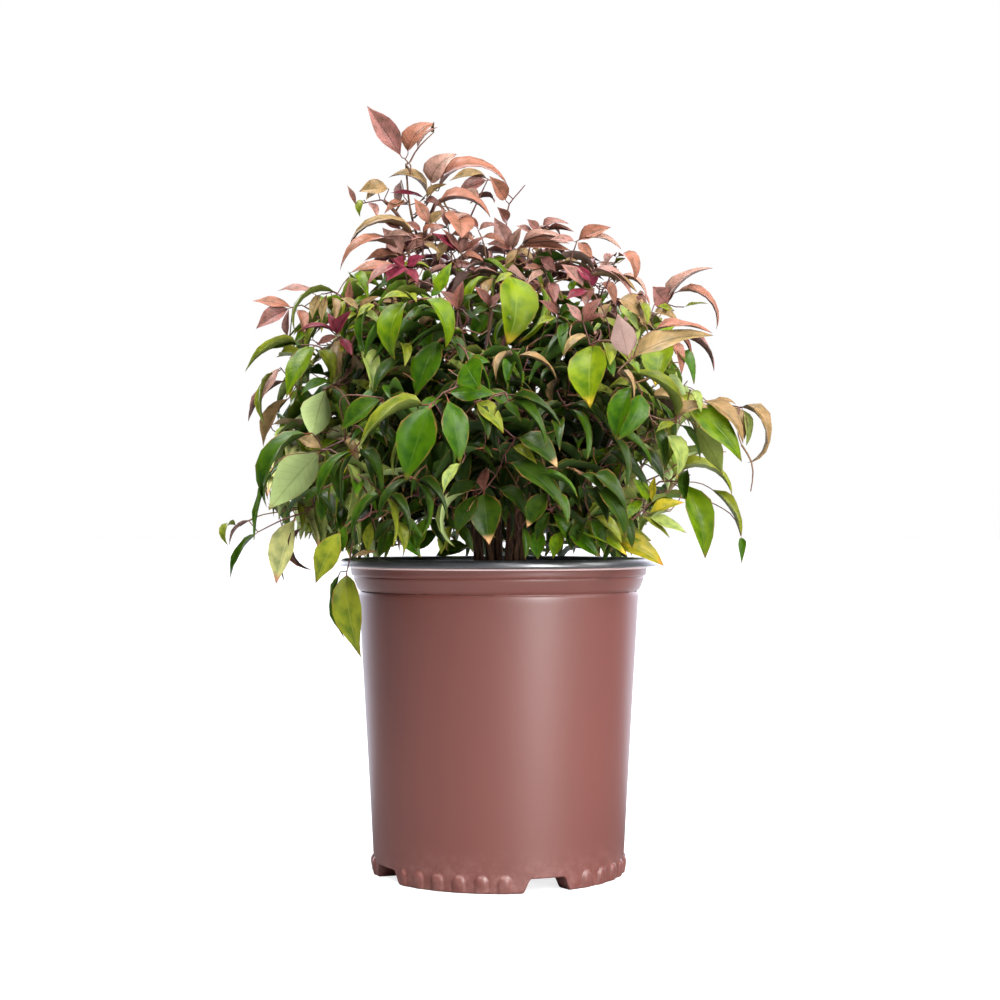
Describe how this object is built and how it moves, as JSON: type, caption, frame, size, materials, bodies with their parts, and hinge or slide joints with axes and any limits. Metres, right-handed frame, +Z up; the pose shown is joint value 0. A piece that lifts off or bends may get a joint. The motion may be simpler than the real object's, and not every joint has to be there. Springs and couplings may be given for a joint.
{
  "type": "heavenly bamboo in a nursery pot",
  "caption": "Low evergreen shrub with arching, pointed leaflets on slender canes, bronze-red above and green below, in a round plastic nursery pot.",
  "frame": {"origin": "on the ground, at the centre of the pot's foot ring", "axes": "+Z up along the pot's axis, -Y towards the front of the plant, +X to the right as seen from the front"},
  "size_m": [0.2874, 0.2598, 0.3983],
  "materials": {
    "pot_plastic": "satin",
    "lip_plastic": "satin",
    "potting_mix": "matte",
    "cane_bark": "matte",
    "leaf_stalk": "satin",
    "leaf_green": "satin",
    "leaf_bronze": "satin"
  },
  "bodies": {
    "root": {"cane_1": "cane_bark", "cane_2": "cane_bark", "cane_3": "cane_bark", "cane_4": "cane_bark", "cane_5": "cane_bark", "cane_6": "cane_bark", "cane_7": "cane_bark", "cane_8": "cane_bark", "crown_back": "leaf_bronze", "crown_left": "leaf_bronze", "crown_right": "leaf_bronze", "hanging_leaf": "leaf_green", "left_tip": "leaf_green", "nursery_pot": "pot_plastic", "potting_mix": "potting_mix", "right_sprig": "leaf_bronze", "shoulder_1": "leaf_bronze", "shoulder_2": "leaf_bronze", "shoulder_3": "leaf_bronze", "shoulder_4": "leaf_bronze", "shoulder_5": "leaf_bronze", "shoulder_6": "leaf_bronze", "shoulder_7": "leaf_bronze", "skirt_1": "leaf_green", "skirt_2": "leaf_green", "skirt_3": "leaf_green", "skirt_4": "leaf_green", "skirt_5": "leaf_green", "skirt_6": "leaf_green", "skirt_7": "leaf_green", "spire_left": "leaf_bronze", "spire_right": "leaf_bronze", "spire_tip": "leaf_bronze", "stalk_crown_back": "leaf_stalk", "stalk_crown_left": "leaf_stalk", "stalk_crown_right": "leaf_stalk", "stalk_skirt_1": "leaf_stalk", "stalk_skirt_2": "leaf_stalk", "stalk_skirt_3": "leaf_stalk", "stalk_skirt_4": "leaf_stalk", "stalk_skirt_5": "leaf_stalk", "stalk_skirt_6": "leaf_stalk", "stalk_skirt_7": "leaf_stalk", "stalk_spire_left": "leaf_stalk", "stalk_spire_right": "leaf_stalk", "stalk_waist_1": "leaf_stalk", "stalk_waist_2": "leaf_stalk", "stalk_waist_3": "leaf_stalk", "stalk_waist_4": "leaf_stalk", "stalk_waist_5": "leaf_stalk", "stalk_waist_6": "leaf_stalk", "stalk_waist_7": "leaf_stalk", "waist_1": "leaf_green", "waist_2": "leaf_green", "waist_3": "leaf_green", "waist_4": "leaf_green", "waist_5": "leaf_green", "waist_6": "leaf_green", "waist_7": "leaf_green"}
  },
  "joints": []
}
